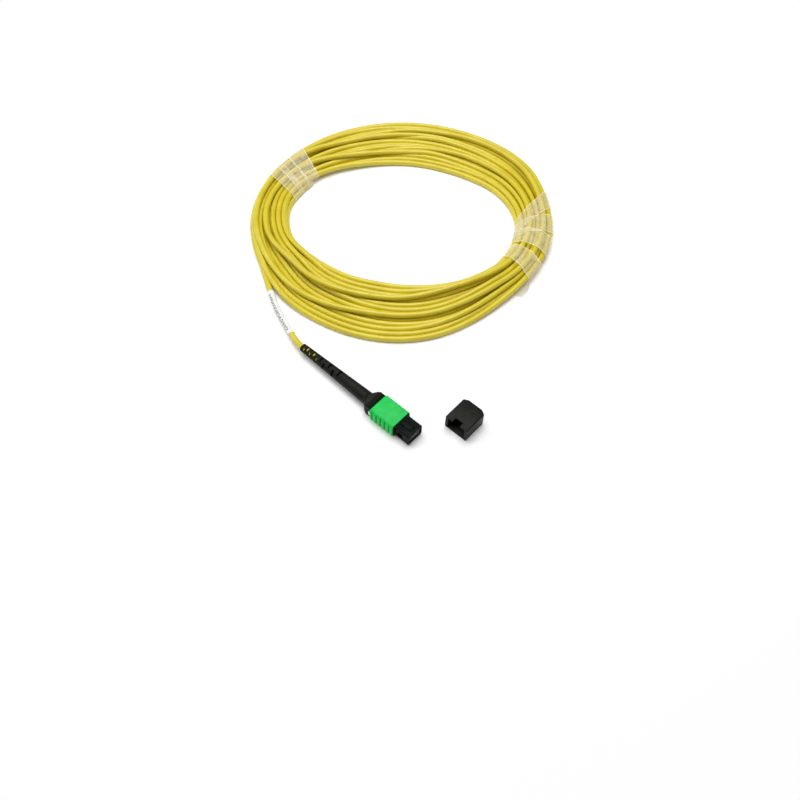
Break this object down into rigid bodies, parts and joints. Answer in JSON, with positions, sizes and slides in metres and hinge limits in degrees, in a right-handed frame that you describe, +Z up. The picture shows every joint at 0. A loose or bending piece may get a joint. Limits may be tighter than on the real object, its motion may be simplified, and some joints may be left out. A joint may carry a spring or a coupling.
{
  "type": "mpo fibre connector",
  "caption": "Push-pull multi-fibre plug with a grooved grip sleeve and a long slotted boot, on a film-tied coil of round cable, its dust cap lying beside the nose",
  "frame": {"origin": "on the resting surface, below the middle of the grip sleeve's flat underside", "axes": "+X along the plug towards its tip, +Z up with the key on top, +Y across the plug towards the coil"},
  "size_m": [0.1977, 0.1862, 0.0086],
  "materials": {
    "green_plastic": "satin",
    "black_plastic": "satin",
    "boot_elastomer": "matt",
    "ferrule_resin": "satin",
    "cured_glue": "glossy",
    "ferrule_boot_elastomer": "matt",
    "spring_steel": "bright drawn wire",
    "keeper_metal": "satin",
    "bare_glass": "clear",
    "ribbon_coating": "glossy",
    "crimp_metal": "satin",
    "aramid": "fibrous",
    "yellow_jacket": "satin",
    "label_film": "glossy",
    "clear_film": "glossy"
  },
  "bodies": {
    "plug": {"inner_housing": "black_plastic", "rear_body": "black_plastic", "crimp_ring": "crimp_metal", "aramid_yarn": "aramid", "strain_relief_boot": "boot_elastomer", "ferrule_spring": "spring_steel", "side_spring_left": "spring_steel", "side_spring_right": "spring_steel", "fibre_ribbon": "ribbon_coating", "cable_lead": "yellow_jacket", "cable_label": "label_film", "cable_coil": "yellow_jacket", "film_tie_left": "clear_film", "film_tie_right": "clear_film", "dust_cap": "black_plastic"},
    "sleeve": {"coupling_sleeve": "green_plastic"},
    "ferrule": {"mt_ferrule": "ferrule_resin", "ferrule_epoxy": "cured_glue", "ferrule_boot": "ferrule_boot_elastomer", "pin_keeper": "keeper_metal", "glass_fibres": "bare_glass"}
  },
  "joints": [
    {"name": "sleeve_slide", "type": "slide", "parent": "plug", "child": "sleeve", "axis": [-1, 0, 0], "range_m": [0, 0.002], "stiffness_N_per_m": 1500, "springref_m": -0.0015, "deforming": ["side_spring_left", "side_spring_right"]},
    {"name": "ferrule_slide", "type": "slide", "parent": "plug", "child": "ferrule", "axis": [-1, 0, 0], "range_m": [0, 0.001], "stiffness_N_per_m": 3000, "springref_m": -0.0023, "deforming": ["ferrule_spring", "fibre_ribbon"]}
  ]
}
